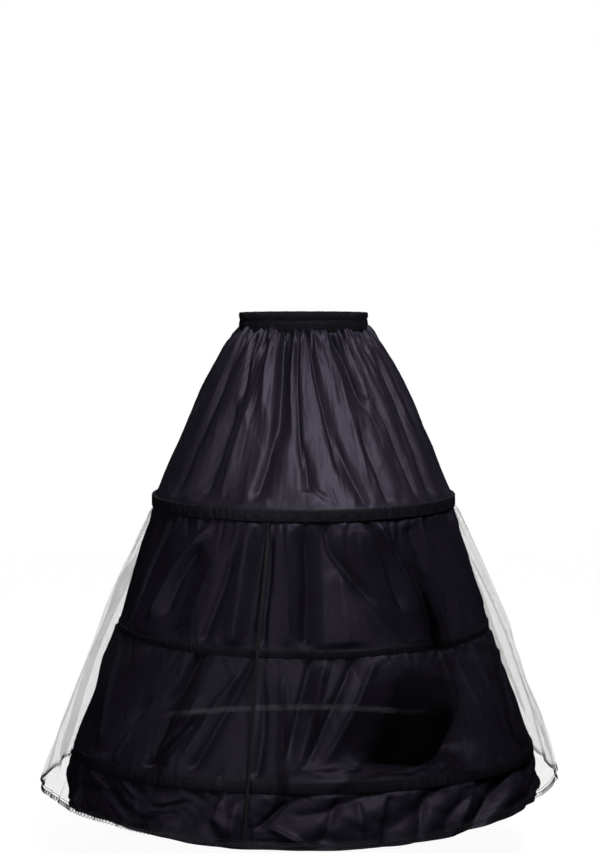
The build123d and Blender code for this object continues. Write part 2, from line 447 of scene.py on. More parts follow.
def between_hoops(above, below):
    """A cone from the lower edge of one tunnel to the upper edge of the next."""
    first, second = HOOPS[above], HOOPS[below]
    low, high = TIER_TUCK - first.height / 2, second.height / 2 - TIER_TUCK

    def surface(angle, share):
        top = round_hoop(first, angle, first.radius - first.thickness / 2, low)
        bottom = round_hoop(second, angle, second.radius - second.thickness / 2, high)
        share = np.asarray(share)[..., None]
        return top * (1 - share) + bottom * share

    return surface


def flounce_surface(angle, share):
    """The free edge below the bottom hoop."""
    hoop = HOOPS["bottom"]
    radius = hoop.radius - hoop.thickness / 2
    radius = radius + (FLOUNCE_RADIUS - hoop.radius) * share
    up = TIER_TUCK * (1 - share) - hoop.height / 2 - FLOUNCE_LENGTH * share
    return round_hoop(hoop, angle, radius, up)


NET_SWELL = 0.009  # how far the net stands out of a straight cone, half way down


def net_surface(angle, share):
    """The net overskirt, from under its tape to its edge."""
    top_radius = HOOPS["top"].radius
    radius = top_radius + (net_high[0] - top_radius) * share
    radius = radius + NET_SWELL * np.sin(np.pi * share)
    top = HOOPS["top"].drop - HOOPS["top"].height / 2
    return oval(angle, radius, radius, top + (net_low[2] - top) * share)


# --- Cloth -----------------------------------------------------------------------


def away_from_front(place):
    """1 at the sides and back, 0 across the front, where the main folds are listed one by one."""
    turn = abs((place + 180) % 360 - 180)
    return float(smooth_step(turn, 70, 88))


# The folds, listed one by one. Each has its path down the cloth, as angles and shares, then how
# wide it is at its start and end and how far it stands out, in millimetres. Some also
# have a skew, the shares of its length over which it fades in and out, and a sharpness.

UPPER_FOLDS = [
    ([(-18, 0), (-14, 0.26), (-11, 0.7)], (7, 18), -21, 0.3, (0, 0.35), 0),
    ([(-29, 0), (-24, 0.26), (-20, 0.6)], (7, 13), 6, 0, (0, 0.4)),
    ([(-4, 0), (-4, 0.21), (-2, 0.56), (0, 0.83)], (3.5, 6), -8, -0.4, (0, 0.2)),
    ([(-8, 0), (-8, 0.3), (-5, 0.62)], (3.5, 6), 5, 0, (0, 0.4)),
    ([(-32, 0), (-26, 0.22)], (4, 6), -8, 0, (0, 0.5)),
    ([(-46, 0), (-38, 0.22), (-34, 0.5)], (5, 10), -9, 0, (0, 0.4)),
    ([(-13, 0.45), (-15, 0.7), (-19, 0.97)], (9, 16), -13, 0.3, (0.3, 0.15)),
    ([(-38, 0.36), (-40, 0.6), (-42, 0.8), (-44, 0.98)], (10, 26), -20, -0.3, (0.3, 0.15), 0.3),
    ([(-28, 0.3), (-31, 0.6), (-33, 1)], (10, 18), 7, 0, (0.3, 0.2)),
    ([(-54, 0.1), (-57, 0.6), (-60, 1)], (10, 18), -10, 0, (0.3, 0.1)),
    ([(-1, 0.6), (1, 0.74), (2, 0.9)], (3, 13), -10, 0, (0.4, 0.08)),
    ([(2, 0.86), (7, 0.92), (11, 0.96)], (6, 8), -4, 0, (0.4, 0.4)),
    ([(3, 0), (7, 0.25), (12, 0.55), (15, 0.85)], (4, 10), -11, 0.4, (0, 0.2), 0.3),
    ([(14, 0.55), (19, 0.78), (25, 1)], (6, 12), -10, -0.4, (0.25, 0.1)),
    ([(26, 0), (31, 0.22), (34, 0.5)], (6, 14), -14, -0.4, (0.1, 0.3), 0.3),
    ([(30, 0.37), (46, 0.41)], (4, 4), 5, 0, (0.3, 0.3)),
    ([(36, 0), (42, 0.38), (46, 0.63), (49, 1)], (4, 9), -9, 0.4, (0, 0.1)),
    ([(27, 0.5), (31, 0.78), (34, 1)], (7, 13), -10, 0.3, (0.3, 0.1)),
    ([(20, 0.1), (24, 0.5), (27, 0.9)], (10, 18), 6, 0, (0.3, 0.2)),
    ([(62, 0.1), (62, 0.5), (60, 0.75), (60, 1)], (8, 16), -13, 0, (0.2, 0.1), 0.3),
    ([(74, 0), (76, 0.5), (78, 1)], (8, 14), -8, 0, (0.1, 0.1)),
]


def upper_tier():
    """Taffeta drawn into the band: fine gathers that run together into long folds."""
    cloth = Cloth(880, 88, upper_surface, np.linspace(0, 1, 88) ** 1.15)
    cloth.gathers(150, 11, (0.06, 0.20), (0.0022, 0.0040), (0.0022, 0.0046), 1.5)
    cloth.gathers(64, 12, (0.2, 0.5), (0.0040, 0.0075), (0.0016, 0.0038), 3)
    cloth.gathers(40, 13, (0.6, 1.0), (0.006, 0.010), (0.003, 0.006), 4, window=away_from_front)
    cloth.gathers(26, 14, (0.7, 1.0), (0.008, 0.012), (0.0025, 0.005), 5, window=away_from_front)
    cloth.gathers(36, 15, (0.08, 0.2), (0.006, 0.012), (0.0015, 0.003), 2, upwards=True)
    cloth.add_folds(UPPER_FOLDS)
    cloth.creases(60, 24, (0.05, 0.16), (0.0025, 0.0045), (0.0005, 0.0012), 0.2)
    cloth.height += 0.0022 * cloth.noise(26, 3, 21) + 0.0012 * cloth.noise(64, 5, 22)
    cloth.height += 0.0007 * cloth.noise(190, 3, 25) * (1 - 0.6 * cloth.shares[:, None])
    cloth.crumple(46, 5, 23, 0.0008)
    cloth.edges(0.0, 0.04, keep=0.15)
    return cloth


MIDDLE_FOLDS = [
    ([(-56, 0), (-64, 0.4), (-67, 0.75), (-70, 0.97)], (6, 7), -9, 0.3, (0.1, 0.1)),
    ([(-34, 0.03), (-43, 0.24), (-51, 0.53), (-56, 0.88)], (7, 9), 9, 0.3),
    ([(-38, 0.2), (-46, 0.5), (-50, 0.85)], (9, 14), -11, 0.3),
    ([(-24, 0.15), (-26, 0.4), (-28, 0.6), (-32, 1)], (8, 12), -11, 0.35, (0.4, 0.1)),
    ([(-20, 0), (-21, 0.5), (-21, 1)], (15, 20), 8, 0, (0.05, 0.1)),
    ([(-11, 0.05), (-11, 0.42), (-12, 0.77), (-12, 1)], (6, 8), -12, -0.4, (0.2, 0.1)),
    ([(-6, 0), (-5, 0.45), (-5, 1)], (14, 16), 7, 0, (0.1, 0.1)),
    ([(0, 0), (1, 0.5), (0, 1)], (12, 14), -10, 0.2, (0.2, 0.1)),
    ([(12, 0.36), (12, 0.6), (13, 1)], (16, 40), 9, 0, (0.2, 0.1)),
    ([(8, 0.02), (8, 0.2), (15, 0.42), (23, 0.7)], (6, 14), -10, 0, (0.1, 0.3)),
    ([(23, 0), (28, 0.18), (30, 0.44), (32, 0.75)], (7, 12), -9, 0.3, (0.1, 0.2)),
    ([(27, 0), (33, 0.3), (38, 0.6), (41, 0.85)], (6, 8), 6, 0.3, (0.1, 0.2)),
    ([(37, 0.35), (40, 0.74), (43, 1)], (6, 9), -6, 0, (0.3, 0.1)),
    ([(49, 0), (54, 0.2), (57, 0.4), (61, 0.62), (64, 0.95)], (9, 12), -8, 0.3),
    ([(72, 0), (77, 0.4), (81, 0.9)], (8, 10), 6, 0, (0.1, 0.1)),
]


def middle_tier():
    """Taffeta from the top hoop to the middle one, gathered here and there at its top."""
    cloth = Cloth(720, 64, between_hoops("top", "middle"))
    cloth.gathers(110, 31, (0.08, 0.35), (0.0035, 0.0065), (0.0012, 0.0035), 2)
    cloth.gathers(48, 32, (0.5, 1.0), (0.010, 0.018), (0.003, 0.0075), 5, window=away_from_front)
    cloth.gathers(70, 33, (0.06, 0.2), (0.004, 0.007), (0.0008, 0.0022), 2, upwards=True)
    cloth.add_folds(MIDDLE_FOLDS)
    cloth.creases(90, 44, (0.04, 0.12), (0.0025, 0.0045), (0.0005, 0.0013), 0.35)
    cloth.height += 0.0036 * cloth.noise(22, 2, 41) + 0.0008 * cloth.noise(60, 3, 42)
    cloth.crumple(52, 4, 43, 0.0004)
    cloth.edges(0.03, 0.05, keep=0.12)
    return cloth


LOWER_FOLDS = [
    ([(-32, 0), (-35, 0.25), (-39, 0.55)], (12, 18), -18, 0.3, (0.05, 0.4)),
    ([(-44, 0.35), (-50, 0.65), (-57, 0.97)], (10, 18), -14, -0.3, (0.3, 0.1)),
    ([(-27, 0.45), (-33, 0.7), (-40, 0.97)], (10, 16), -16, 0.4, (0.3, 0.1)),
    ([(-15, 0), (-20, 0.4), (-23, 0.61), (-28, 0.97)], (7, 13), -11, 0.3, (0.2, 0.1)),
    ([(-17, 0.1), (-24, 0.42), (-27, 0.62), (-31, 0.9)], (8, 11), 6),
    ([(-36, 0.42), (-38, 0.73), (-40, 1)], (8, 12), -9, -0.3, (0.3, 0.1)),
    ([(-29, 0.3), (-31, 0.6), (-34, 0.95)], (12, 12), 6),
    ([(-14, 0), (-17, 0.22)], (3, 4), -5, 0, (0.1, 0.4)),
    ([(-11, 0.15), (-10, 0.59), (-11, 1)], (6, 12), -11, 0, (0.3, 0.1)),
    ([(-6, 0.15), (-5, 0.5), (-5, 0.85)], (7, 9), 5, -0.3),
    ([(2, 0), (-1, 0.34), (-3, 0.62), (-4, 0.86)], (8, 11), -10, 0.3, (0.1, 0.3)),
    ([(15, 0), (10, 0.26), (5, 0.54), (0, 0.9)], (9, 11), -12, 0.3, (0.1, 0.2)),
    ([(6, 0), (4, 0.3), (1, 0.6), (-2, 0.95)], (10, 12), 7),
    ([(21, 0), (16, 0.3), (10, 0.58), (4, 0.88)], (10, 12), 9, 0.3),
    ([(31, 0.06), (31, 0.3), (29, 0.55), (26, 0.93)], (50, 100), -60, 0, (0.7, 0.22), 0),
    ([(44, 0), (45, 0.35), (46, 0.7)], (4, 5), 6, 0, (0.1, 0.3)),
    ([(49, 0), (52, 0.38), (54, 0.65)], (5, 6), 6, 0, (0.1, 0.3)),
    ([(59, 0), (63, 0.51), (67, 0.85)], (6, 8), 7, 0, (0.1, 0.3)),
    ([(81, 0.1), (76, 0.4), (72, 0.75)], (7, 9), 6),
    ([(-72, 0), (-67, 0.45), (-60, 0.9)], (10, 12), 6),
    ([(-47, 0.6), (-52, 0.97)], (4, 5), 4, 0, (0.4, 0.1)),
]


def lower_tier():
    """Taffeta from the middle hoop to the bottom one: slanting folds and one deep hollow."""
    cloth = Cloth(800, 70, between_hoops("middle", "bottom"))
    cloth.gathers(120, 51, (0.08, 0.4), (0.0035, 0.0075), (0.0012, 0.0036), 3)
    cloth.gathers(52, 52, (0.5, 1.0), (0.011, 0.020), (0.003, 0.008), 7, window=away_from_front)
    cloth.gathers(90, 53, (0.06, 0.22), (0.004, 0.008), (0.0010, 0.0028), 3, upwards=True)
    cloth.add_folds(LOWER_FOLDS)
    # The cloth bunched just above the bottom hoop, to the right of the front.
    random = np.random.default_rng(57)
    for _ in range(26):
        place = random.uniform(2, 42)
        share = random.uniform(0.84, 0.97)
        reach = random.uniform(1.5, 5)
        rise = random.uniform(-0.035, 0.035)
        tall = random.uniform(0.0015, 0.0035) * random.choice((-1, 1))
        cloth.wrinkle((place - reach, share - rise), (place + reach, share + rise), 0.0028, tall)
    cloth.creases(110, 64, (0.04, 0.13), (0.0025, 0.005), (0.0006, 0.0016), 0.4)
    cloth.height += 0.0042 * cloth.noise(20, 2, 61) + 0.0009 * cloth.noise(58, 3, 62)
    cloth.crumple(56, 4, 63, 0.0005)
    cloth.edges(0.03, 0.05, keep=0.12)
    return cloth


# How much further than the CAD flounce the edge hangs down, by angle.
FLOUNCE_LONGER = [(-150, 0.002), (-95, 0.008), (-72, 0.008), (-52, 0.005), (-38, 0.009), (-24, 0.017),
                  (-14, 0.019), (0, 0.019), (15, 0.018), (34, 0.014), (58, 0.002), (80, -0.003),
                  (110, 0.0)]


FLOUNCE_FOLDS = [
    ([(-58, 0), (-48, 0.45), (-38, 1)], (10, 26), -20, -0.5, (0.1, 0.1)),
    ([(-49, 0), (-42, 0.4)], (6, 10), 8, 0.4, (0.1, 0.3)),
    ([(-27, 0.25), (-37, 0.52)], (6, 9), -9, 0, (0.2, 0.2)),
    ([(-31, 0.55), (-33, 1)], (20, 30), 9, 0, (0.4, 0)),
    ([(-18, 0), (-20, 0.5)], (6, 10), 8, 0, (0.05, 0.5)),
    ([(-21, 0.5), (-19, 1)], (10, 14), -10, 0, (0.4, 0)),
    ([(-15, 0.1), (-16, 1)], (8, 8), 6, 0, (0.2, 0)),
    ([(-4, 0.15), (-11, 0.7)], (6, 10), -13, 0.4, (0.1, 0.2)),
    ([(-11, 0.85), (2, 0.93)], (14, 20), -15, 0.3, (0.3, 0.3)),
    ([(-9, 0.55), (2, 1)], (10, 12), 9, 0, (0.3, 0.2)),
    ([(8, 0.05), (4, 0.9)], (8, 14), -10, 0, (0.2, 0.1)),
    ([(12, 0.1), (13, 1)], (8, 14), 8, 0, (0.2, 0)),
    ([(20, 0.05), (18, 1)], (10, 16), -13, 0.4, (0.2, 0)),
    ([(30, 0.05), (26, 1)], (10, 14), -11, -0.4, (0.2, 0)),
    ([(44, 0.1), (36, 1)], (14, 20), 10, 0, (0.2, 0)),
    ([(58, 0), (44, 1)], (30, 50), -24, -0.5, (0.15, 0)),
    ([(-70, 0), (-66, 1)], (12, 18), 8, 0, (0.2, 0)),
]


def hem_flounce():
    """The taffeta's free edge, in crisp planes, and longer across the front."""
    cloth = Cloth(820, 30, flounce_surface)
    cloth.gathers(120, 71, (0.2, 0.6), (0.004, 0.008), (0.0010, 0.0028), 2)
    cloth.gathers(58, 72, (0.9, 1.0), (0.012, 0.022), (0.003, 0.008), 4, window=away_from_front)
    cloth.add_folds(FLOUNCE_FOLDS)
    cloth.facets(22, 1, 86, 0.016, 0.9)
    waves = 0.004 * cloth.noise(24, 1, 81) + 0.002 * cloth.noise(60, 2, 82)
    cloth.height += cloth.shares[:, None] * waves
    cloth.creases(60, 85, (0.03, 0.09), (0.003, 0.006), (0.0008, 0.0022), 0.8)
    cloth.crumple(50, 2, 83, 0.0007, 0.8)
    cloth.edges(0.10, 0.0, keep=0.12)
    # The edge isn't level: it hangs lower across the front.
    longer = cloth.by_angle(FLOUNCE_LONGER) + 0.003 * cloth.noise(30, 1, 84)[-1][None, :]
    cloth.sink += cloth.shares[:, None] ** 1.5 * longer
    return cloth


# How far inside the plain cone the net's edge lies, and how far above it, by angle.
NET_CLOSER = [(-180, 0.0), (-105, 0.0), (-85, 0.002), (-65, 0.016), (-45, 0.026), (0, 0.029),
              (45, 0.027), (62, 0.024), (78, 0.014), (100, 0.012), (130, 0.0)]
NET_HIGHER = [(-180, 0.018), (-125, 0.026), (-108, 0.012), (-95, -0.002), (-80, 0.0), (-62, 0.009),
              (-45, 0.010), (-30, 0.010), (-20, 0.007), (0, 0.005), (20, 0.006), (34, 0.012),
              (50, 0.020), (62, 0.025), (78, 0.026), (95, 0.020), (110, 0.026), (140, 0.022)]


# Where it is turned over on itself the net looks darker, with clear edges. Each pleat has
# its path, how far it covers at its start and end in millimetres, its side and its fade.
NET_PLEATS = [
    ([(11.4, 0), (11, 0.2), (10, 0.44)], (50, 60), -1, (0.02, 0.2)),
    ([(-21.5, 0), (-21.5, 0.2), (-22, 0.44)], (22, 28), 1, (0.05, 0.2)),
    ([(11, 0.4), (6, 0.6), (-2, 0.82)], (28, 34), -1, (0.2, 0.3)),
    ([(52.5, 0.42), (53, 0.6), (54, 0.87)], (100, 220), -1, (0.35, 0.25)),
    ([(22.5, 0.42), (12, 0.6), (-2, 0.87)], (100, 140), 1, (0.35, 0.25)),
    ([(-24, 0.4), (-28, 0.6), (-33, 0.9)], (30, 40), -1, (0.2, 0.3)),
    ([(56, 0), (57, 0.2), (58, 0.5)], (160, 160), -1, (0.12, 0.2)),
    ([(-38, 0.05), (-40, 0.2), (-42, 0.4)], (20, 30), 1, (0.3, 0.2)),
    ([(-8, 0.42), (-8, 0.6), (-8, 0.95)], (18, 24), 1, (0.2, 0.2)),
    ([(50, 0.02), (56, 0.4), (60, 0.93)], (40, 85), 1, (0.3, 0.15)),
    ([(70, 0.05), (76, 0.4), (80, 0.95)], (6, 10), 1, (0.2, 0.15)),
    ([(84, 0.1), (88, 0.5), (89, 0.97)], (5, 8), -1, (0.2, 0.15)),
    ([(94, 0.3), (96, 0.6), (98, 0.98)], (5, 9), 1, (0.3, 0.1)),
    ([(-66, 0.1), (-71, 0.38), (-72, 0.62), (-72, 0.97)], (26, 44), -1, (0.2, 0.15)),
    ([(-84, 0.15), (-86, 0.38), (-84, 0.57), (-82, 0.8)], (18, 26), 1, (0.3, 0.3)),
]


def net_overskirt():
    """The net: full soft folds, turned over on itself in places."""
    cloth = Cloth(760, 90, net_surface)
    cloth.gathers(140, 91, (0.06, 0.4), (0.003, 0.006), (0.001, 0.003), 2)
    cloth.gathers(54, 92, (0.6, 1.0), (0.008, 0.014), (0.003, 0.007), 5)
    cloth.gathers(46, 93, (0.4, 0.9), (0.010, 0.018), (0.003, 0.008), 5, upwards=True)
    for path, cover, side, fade in NET_PLEATS:
        cloth.pleat(path, (cover[0] / 1000, cover[1] / 1000), side, fade)
    for place, side in ((104, 1), (139, -1), (168, 1), (-159, -1), (-126, 1)):
        cloth.pleat([(place, 0.0), (place + 3 * side, 0.5), (place, 0.95)], (0.018, 0.036), side)
    swing = cloth.shares[:, None]
    cloth.height += swing * (0.006 * cloth.noise(14, 2, 94) + 0.003 * cloth.noise(37, 3, 95))
    cloth.height += 0.0012 * cloth.noise(90, 8, 96)
    # In front the net falls against the flounce, and its edge hangs higher at the sides.
    cloth.height -= swing**1.5 * cloth.by_angle(NET_CLOSER)
    cloth.sink -= swing**2 * cloth.by_angle(NET_HIGHER)
    cloth.edges(0.02, 0.0, keep=0.1)
    cloth.sink += swing**3 * 0.004 * cloth.noise(22, 1, 97)[-1][None, :]
    return cloth


# --- Bands and cords ----------------------------------------------------------------


PUCKERS = 180  # small puckers of a sewn band, counted round it


def band_points(ring, columns, section, ripple, seed, pucker):
    """A closed band: section is its (out, up) corners, and ring gives a place for them."""
    angles = np.arange(columns) * 360 / columns
    rows = []
    random = np.random.default_rng(seed)
    phase = random.uniform(0, TURN, 5)
    waves = np.radians(angles)[None, :] * random.integers(60, 260, 5)[:, None] + phase[:, None]
    wobble = ripple * np.sin(waves).mean(0)
    beat = np.radians(angles) * PUCKERS + 3 * np.sin(np.radians(angles) * 31 + seed)
    dimple = pucker * np.sin(beat) * (0.6 + 0.4 * np.sin(np.radians(angles) * 17 + 2 * seed))
    for out, up in section:
        rows.append(ring(angles, out + wobble + dimple, up + wobble * 0.5 + dimple * 0.8))
    return np.stack(rows)


def tube_grid(path, radius, sides):
    """Points of a tube round a closed path of points."""
    ahead = unit(np.roll(path, -1, 0) - np.roll(path, 1, 0))
    across = unit(np.cross(ahead, unit(path * (1, 1, 0))))
    outward = np.cross(across, ahead)
    turn = (np.arange(sides) * TURN / sides)[None, :, None]
    return path[:, None] + radius * (outward[:, None] * np.cos(turn) + across[:, None] * np.sin(turn))


def make_tubes(name, paths, radius, sides):
    """One piece of many closed lace cords: paths are lists of points."""
    points, faces = [], []
    offset = 0
    for path in paths:
        points.append(tube_grid(path, radius, sides).reshape(-1, 3))
        faces.append(grid_faces(len(path), sides, True)[:, (0, 3, 2, 1)] + offset)
        offset += len(path) * sides
    return make_piece(name, np.concatenate(points), np.concatenate(faces), [LACE])


def make_stitches(name, starts, ends, outs, radius=0.0003):
    """Short threads, each a low ridge from its start to its end."""
    starts, ends, outs = (np.asarray(values, float) for values in (starts, ends, outs))
    across = unit(np.cross(ends - starts, outs))
    middle = (starts + ends) / 2 + outs * radius * 1.3
    sink = outs * radius * 0.6
    top = middle + outs * radius * 0.5
    sides = (middle - across * radius, middle + across * radius)
    corners = np.stack([starts - sink, *sides, ends - sink, top], 1)
    base = np.arange(len(starts))[:, None, None] * 5
    triangles = np.array([(0, 1, 4), (1, 3, 4), (3, 2, 4), (2, 0, 4)])[None]
    return make_piece(name, corners.reshape(-1, 3), (base + triangles).reshape(-1, 3), [THREAD])


def ring_stitches(name, lines, pitch, seed, radius=0.0003):
    """Runs of stitches round rings: lines are functions from angles to points."""
    random = np.random.default_rng(seed)
    starts, ends = [], []
    for line in lines:
        around = line(np.linspace(0, 360, 361))
        length = np.linalg.norm(np.diff(around, axis=0), axis=1).sum()
        count = int(length / pitch)
        angle = np.arange(count) * 360 / count + random.uniform(-0.02, 0.02, count)
        starts.append(line(angle))
        ends.append(line(angle + 360 / count * 0.74))
    starts, ends = np.concatenate(starts), np.concatenate(ends)
    stitches = make_stitches(name, starts, ends, unit(starts * (1, 1, 0)), radius)
    return stitches


# --- Materials -------------------------------------------------------------------


SOCKETS = {"colour": "Base Color", "roughness": "Roughness", "normal": "Normal",
           "specular": "Specular IOR Level", "tint": "Specular Tint", "metal": "Metallic",
           "glow": "Emission Color", "glow_strength": "Emission Strength"}


class Nodes:
    """A material's node tree, with short calls to add nodes and join them."""

    def __init__(self, name):
        self.material = bpy.data.materials.new(name)
        self.material.use_nodes = True
        self.tree = self.material.node_tree
        self.shader = self.tree.nodes["Principled BSDF"]
        self.output = self.tree.nodes["Material Output"]

    def add(self, kind, **values):
        """A new node, with its properties set."""
        node = self.tree.nodes.new(kind)
        for name, value in values.items():
            setattr(node, name, value)
        return node

    def join(self, source, target):
        self.tree.links.new(source, target)

    def to_shader(self, **sockets):
        """Joins sources to the shader's sockets, or sets the sockets to constants."""
        for name, value in sockets.items():
            socket = self.shader.inputs[SOCKETS[name]]
            if isinstance(value, (int, float, tuple)):
                socket.default_value = value
            else:
                self.join(value, socket)

    def coordinates(self, kind="Object"):
        return self.add("ShaderNodeTexCoord").outputs[kind]

    def scaled(self, vector, scale):
        """Coordinates stretched by scale, which makes a pattern finer that way."""
        node = self.add("ShaderNodeMapping")
        self.join(vector, node.inputs["Vector"])
        node.inputs["Scale"].default_value = scale
        return node.outputs["Vector"]

    def noise(self, vector, scale, detail=3.0):
        """Cloudy noise from 0 to 1."""
        node = self.add("ShaderNodeTexNoise")
        node.inputs["Scale"].default_value = scale
        node.inputs["Detail"].default_value = detail
        node.inputs["Roughness"].default_value = 0.55
        self.join(vector, node.inputs["Vector"])
        return node.outputs["Fac"]

    def wave(self, vector, threads, direction):
        """Ridges across a direction, this many to a metre."""
        node = self.add("ShaderNodeTexWave", bands_direction=direction)
        node.inputs["Scale"].default_value = threads / TURN
        self.join(vector, node.inputs["Vector"])
        return node.outputs["Fac"]

    def ramp(self, value, low, high, to_low=0.0, to_high=1.0):
        """A value carried from one range to another."""
        node = self.add("ShaderNodeMapRange")
        self.join(value, node.inputs["Value"])
        node.inputs["From Min"].default_value = low
        node.inputs["From Max"].default_value = high
        node.inputs["To Min"].default_value = to_low
        node.inputs["To Max"].default_value = to_high
        return node.outputs["Result"]

    def maths(self, operation, first, second):
        """The sum or product of two values, each a source or a number."""
        node = self.add("ShaderNodeMath", operation=operation)
        for socket, value in zip(node.inputs, (first, second)):
            if isinstance(value, (int, float)):
                socket.default_value = value
            else:
                self.join(value, socket)
        return node.outputs[0]

    def mix(self, factor, first, second):
        """A colour between two, by factor."""
        node = self.add("ShaderNodeMix", data_type="RGBA")
        self.join(factor, node.inputs["Factor"])
        for name, colour in (("A", first), ("B", second)):
            plug = [plug for plug in node.inputs if plug.name == name and plug.type == "RGBA"][0]
            plug.default_value = (*colour, 1)
        return [plug for plug in node.outputs if plug.type == "RGBA"][0]

    def bump(self, height, distance, strength, normal=None):
        """A normal tilted by height, on top of another normal if one is given."""
        node = self.add("ShaderNodeBump")
        node.inputs["Distance"].default_value = distance
        node.inputs["Strength"].default_value = strength
        self.join(height, node.inputs["Height"])
        if normal is not None:
            self.join(normal, node.inputs["Normal"])
        return node.outputs["Normal"]

    def see_through(self, cover):
        """Shows the shader only by cover, from 0 to 1, and lets light through elsewhere."""
        clear = self.add("ShaderNodeBsdfTransparent")
        blend = self.add("ShaderNodeMixShader")
        self.join(cover, blend.inputs["Fac"])
        self.join(clear.outputs[0], blend.inputs[1])
        self.join(self.shader.outputs[0], blend.inputs[2])
        self.join(blend.outputs[0], self.output.inputs["Surface"])


THREADS = 2600  # threads to a metre in the taffeta
FACING_TOP = (-0.690, -0.670)  # the heights between which the lower tier's lining ends
COOL_GLOSS = (0.86, 0.78, 1.0, 1.0)


def taffeta(name, dark, light, gloss, sheer=0.0):
    """Crisp plain-woven cloth: fine crossing threads, slubs, and a low soft gloss."""
    look = Nodes(name)
    flat = look.coordinates("UV")
    place = look.coordinates()
    weave = look.maths("ADD", look.wave(flat, THREADS, "X"), look.wave(flat, THREADS, "Y"))
    slubs = look.noise(look.scaled(flat, (14, 420, 1)), 1.0, 2.0)
    streaks = look.noise(look.scaled(flat, (520, 9, 1)), 1.0, 2.0)
    patches = look.noise(place, 9.0)
    yarn = look.maths("ADD", slubs, streaks)
    tone = look.ramp(look.maths("ADD", yarn, patches), 1.2, 1.8)
    fine = look.bump(weave, 0.00006, 0.5)
    look.to_shader(colour=look.mix(tone, dark, light), specular=gloss, tint=COOL_GLOSS,
                   roughness=look.ramp(patches, 0.3, 0.7, 0.48, 0.57),
                   normal=look.bump(yarn, 0.00025, 0.6, fine))
    if sheer:
        # Solid where it is lined, low down, and a little see-through above.
        part = look.add("ShaderNodeSeparateXYZ")
        look.join(place, part.inputs[0])
        look.see_through(look.ramp(part.outputs["Z"], *FACING_TOP, 1.0, 1.0 - sheer))
    return look.material


def woven_tape(name, dark, light, gloss):
    """Narrow twill tape: slanting ribs, worn lighter in places."""
    look = Nodes(name)
    turned = look.add("ShaderNodeMapping")
    look.join(look.coordinates("UV"), turned.inputs["Vector"])
    turned.inputs["Rotation"].default_value = (0, 0, np.radians(35))
    ribs = look.wave(turned.outputs["Vector"], 1400, "X")
    wear = look.noise(look.coordinates(), 40.0, 4.0)
    tone = look.ramp(look.maths("ADD", look.maths("MULTIPLY", ribs, 0.3), wear), 0.4, 0.95)
    look.to_shader(colour=look.mix(tone, dark, light), specular=gloss,
                   roughness=look.ramp(wear, 0.3, 0.7, 0.5, 0.64),
                   normal=look.bump(ribs, 0.0001, 0.5))
    return look.material


def thread(name, dark, light):
    """Twisted sewing thread."""
    look = Nodes(name)
    twist = look.wave(look.coordinates(), 900, "DIAGONAL")
    look.to_shader(colour=look.mix(twist, dark, light), specular=0.35,
                   roughness=look.ramp(twist, 0, 1, 0.45, 0.6),
                   normal=look.bump(twist, 0.0001, 0.4))
    return look.material


NET_CELL = 0.0014  # from one hole of the net to the next


def netting():
    """Fine six-sided net: dark yarn round clear holes."""
    look = Nodes("net")
    cells = look.add("ShaderNodeTexVoronoi", feature="DISTANCE_TO_EDGE", voronoi_dimensions="2D")
    cells.inputs["Scale"].default_value = 1 / NET_CELL
    cells.inputs["Randomness"].default_value = 0.15
    look.join(look.coordinates("UV"), cells.inputs["Vector"])
    fuzz = look.noise(look.coordinates(), 30.0, 2.0)
    look.to_shader(colour=look.mix(fuzz, (0.0010, 0.0010, 0.0013), (0.0030, 0.0028, 0.0036)),
                   roughness=look.ramp(fuzz, 0.3, 0.7, 0.8, 0.95), specular=0.0)
    look.see_through(look.ramp(cells.outputs["Distance"], 0.03, 0.055, 1.0, 0.0))
    return look.material


def metal(name, colour, roughness):
    """Drawn metal strip, with lengthwise scratches."""
    look = Nodes(name)
    scratches = look.noise(look.scaled(look.coordinates(), (8, 8, 900)), 1.0)
    darker = tuple(0.6 * value for value in colour)
    look.to_shader(colour=look.mix(scratches, darker, colour), metal=1.0,
                   roughness=look.ramp(scratches, 0.3, 0.7, roughness, roughness + 0.15),
                   normal=look.bump(scratches, 0.0001, 0.3))
    return look.material


def knitted_elastic():
    """Ribbed elastic braid."""
    look = Nodes("elastic_braid")
    ribs = look.wave(look.coordinates(), 700, "Z")
    fuzz = look.noise(look.coordinates(), 900.0, 2.0)
    tone = look.maths("MULTIPLY", ribs, fuzz)
    look.to_shader(colour=look.mix(tone, (0.012, 0.012, 0.014), (0.05, 0.05, 0.055)),
                   roughness=look.ramp(fuzz, 0.3, 0.7, 0.7, 0.85),
                   normal=look.bump(ribs, 0.0003, 0.6))
    return look.material


TAFFETA = taffeta("taffeta_plum_black", (0.0098, 0.0078, 0.0142), (0.0160, 0.0128, 0.0230), 0.36)
# Painted shade: the waistband is the same taffeta as the skirt, given a darker, duller copy to darken its
# tone.
BAND_PAINTED_SHADE = taffeta("taffeta_band_painted_shade", (0.0052, 0.0048, 0.0062), (0.0105, 0.0095, 0.0125), 0.08)
TAPE = woven_tape("tape_black", (0.0070, 0.0061, 0.0090), (0.0145, 0.0126, 0.0185), 0.12)
BINDING = woven_tape("binding_black", (0.003, 0.0028, 0.0036), (0.0070, 0.0064, 0.0085), 0.12)
